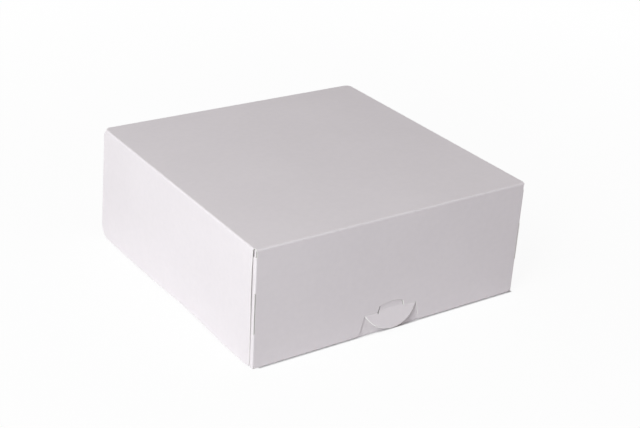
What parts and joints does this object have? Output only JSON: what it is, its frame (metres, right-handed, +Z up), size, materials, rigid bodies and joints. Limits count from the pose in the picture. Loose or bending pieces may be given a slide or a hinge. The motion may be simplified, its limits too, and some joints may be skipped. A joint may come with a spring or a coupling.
{
  "type": "cake box",
  "caption": "Square white paperboard cake box: tray with glued corners, hinged lid with side flaps, tucked ears and a half-round front lock tab.",
  "frame": {"origin": "centre of the tray's underside, on the surface that the box stands on", "axes": "+Z up, +X to the right and -Y to the front, where the lock is"},
  "size_m": [0.2588, 0.265, 0.1037],
  "materials": {
    "coated_board": "white clay-coated board, matte",
    "creased_board": "white coated board, creased",
    "carton_glue": "dried carton glue"
  },
  "bodies": {
    "tray": {"floor_panel": "coated_board", "front_wall": "coated_board", "back_wall": "coated_board", "left_wall": "coated_board", "right_wall": "coated_board", "front_floor_crease": "creased_board", "back_floor_crease": "creased_board", "left_floor_crease": "creased_board", "right_floor_crease": "creased_board", "front_left_glue_flap": "coated_board", "front_right_glue_flap": "coated_board", "back_left_glue_flap": "coated_board", "back_right_glue_flap": "coated_board", "front_left_glue_flap_crease": "creased_board", "front_right_glue_flap_crease": "creased_board", "back_left_glue_flap_crease": "creased_board", "back_right_glue_flap_crease": "creased_board", "front_left_glue": "carton_glue", "front_right_glue": "carton_glue", "back_left_glue": "carton_glue", "back_right_glue": "carton_glue", "lid_hinge_crease": "creased_board"},
    "lid": {"lid_panel": "coated_board", "front_flap_crease": "creased_board", "left_flap_crease": "creased_board", "right_flap_crease": "creased_board"},
    "front_flap": {"front_flap": "coated_board", "left_ear": "coated_board", "right_ear": "coated_board", "left_ear_upper_crease": "creased_board", "left_ear_lower_crease": "creased_board", "right_ear_upper_crease": "creased_board", "right_ear_lower_crease": "creased_board", "lock_tab_left_crease": "creased_board", "lock_tab_right_crease": "creased_board"},
    "left_flap": {"left_flap": "coated_board"},
    "right_flap": {"right_flap": "coated_board"},
    "lock_tab": {"lock_tab": "coated_board", "lock_tongue_root": "coated_board", "lock_tongue": "coated_board"}
  },
  "joints": [
    {"name": "lid_hinge", "type": "hinge", "parent": "tray", "child": "lid", "pos_m": [0, 0.129, 0.1031], "axis": [-1, 0, 0], "range_deg": [0, 180]},
    {"name": "front_flap_fold", "type": "hinge", "parent": "lid", "child": "front_flap", "pos_m": [0, -0.1299, 0.1031], "axis": [-1, 0, 0], "range_deg": [0, 90]},
    {"name": "left_flap_fold", "type": "hinge", "parent": "lid", "child": "left_flap", "pos_m": [-0.1288, 0, 0.1031], "axis": [0, 1, 0], "range_deg": [0, 90]},
    {"name": "right_flap_fold", "type": "hinge", "parent": "lid", "child": "right_flap", "pos_m": [0.1288, 0, 0.1031], "axis": [0, -1, 0], "range_deg": [0, 90]},
    {"name": "lock_tab_fold", "type": "hinge", "parent": "front_flap", "child": "lock_tab", "pos_m": [0, -0.1302, 0.0186], "axis": [-1, 0, 0], "range_deg": [-18.5, 71.5]}
  ]
}
